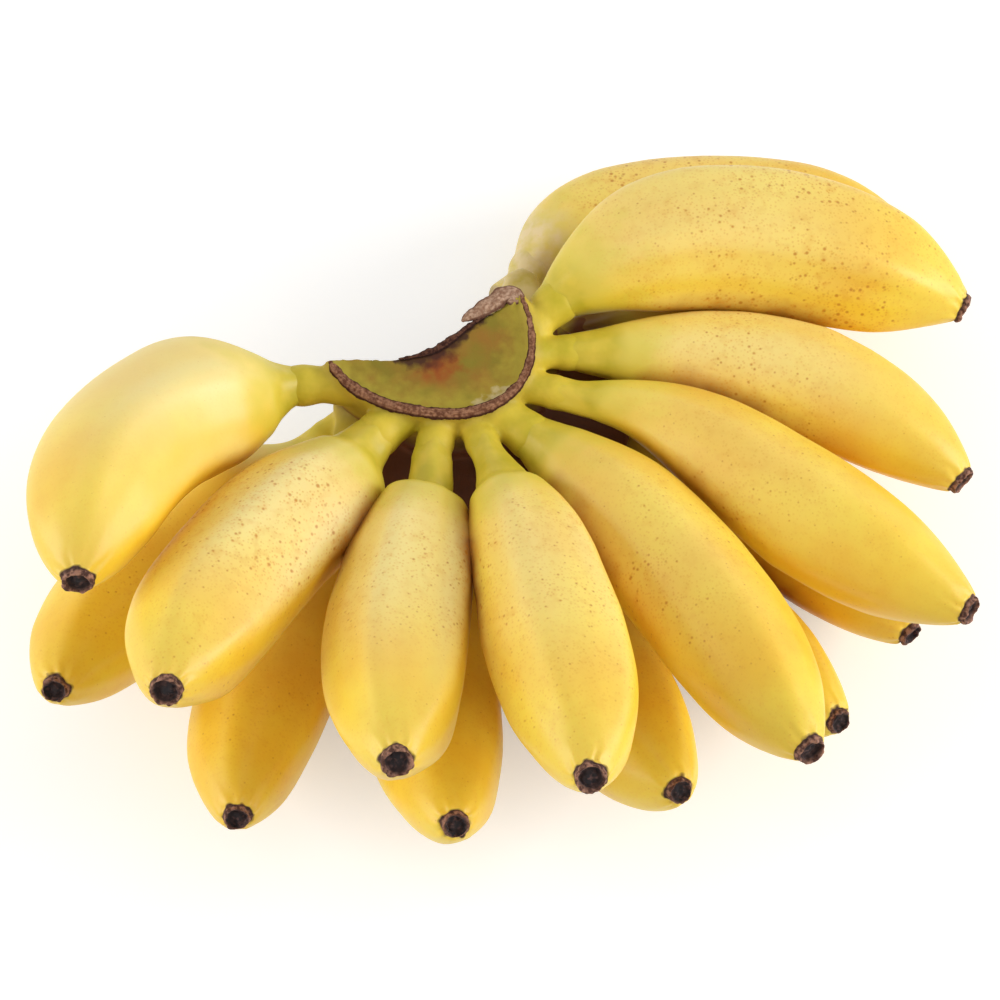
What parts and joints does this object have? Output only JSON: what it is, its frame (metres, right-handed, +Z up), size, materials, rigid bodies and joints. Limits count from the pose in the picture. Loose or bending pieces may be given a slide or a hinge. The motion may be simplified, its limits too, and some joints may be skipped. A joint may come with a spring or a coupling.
{
  "type": "hand of baby bananas",
  "caption": "Hand of baby bananas: short, plump, curved yellow fingers fanned in stacked rows round a cut crown, lying on its lower row with the tips turned up.",
  "frame": {"origin": "middle of the hand's bounding box in plan, at the height of the table it lies on", "axes": "+Z up, +X to the right along the hand's widest spread, fingertips towards -Y"},
  "size_m": [0.207, 0.1716, 0.09],
  "materials": {
    "peel": "smooth, waxy ripe banana peel, green at the stalk, with fine brown freckles",
    "crown": "cut plant tissue with a corky bark rim"
  },
  "bodies": {
    "root": {"crown": "crown", "upper_finger_1": "peel", "upper_finger_2": "peel", "upper_finger_3": "peel", "upper_finger_4": "peel", "upper_finger_5": "peel", "upper_finger_6": "peel", "upper_finger_7": "peel", "upper_finger_8": "peel", "lower_finger_1": "peel", "lower_finger_2": "peel", "lower_finger_3": "peel", "lower_finger_4": "peel", "lower_finger_5": "peel", "lower_finger_6": "peel", "lower_finger_7": "peel", "lower_finger_8": "peel"}
  },
  "joints": []
}
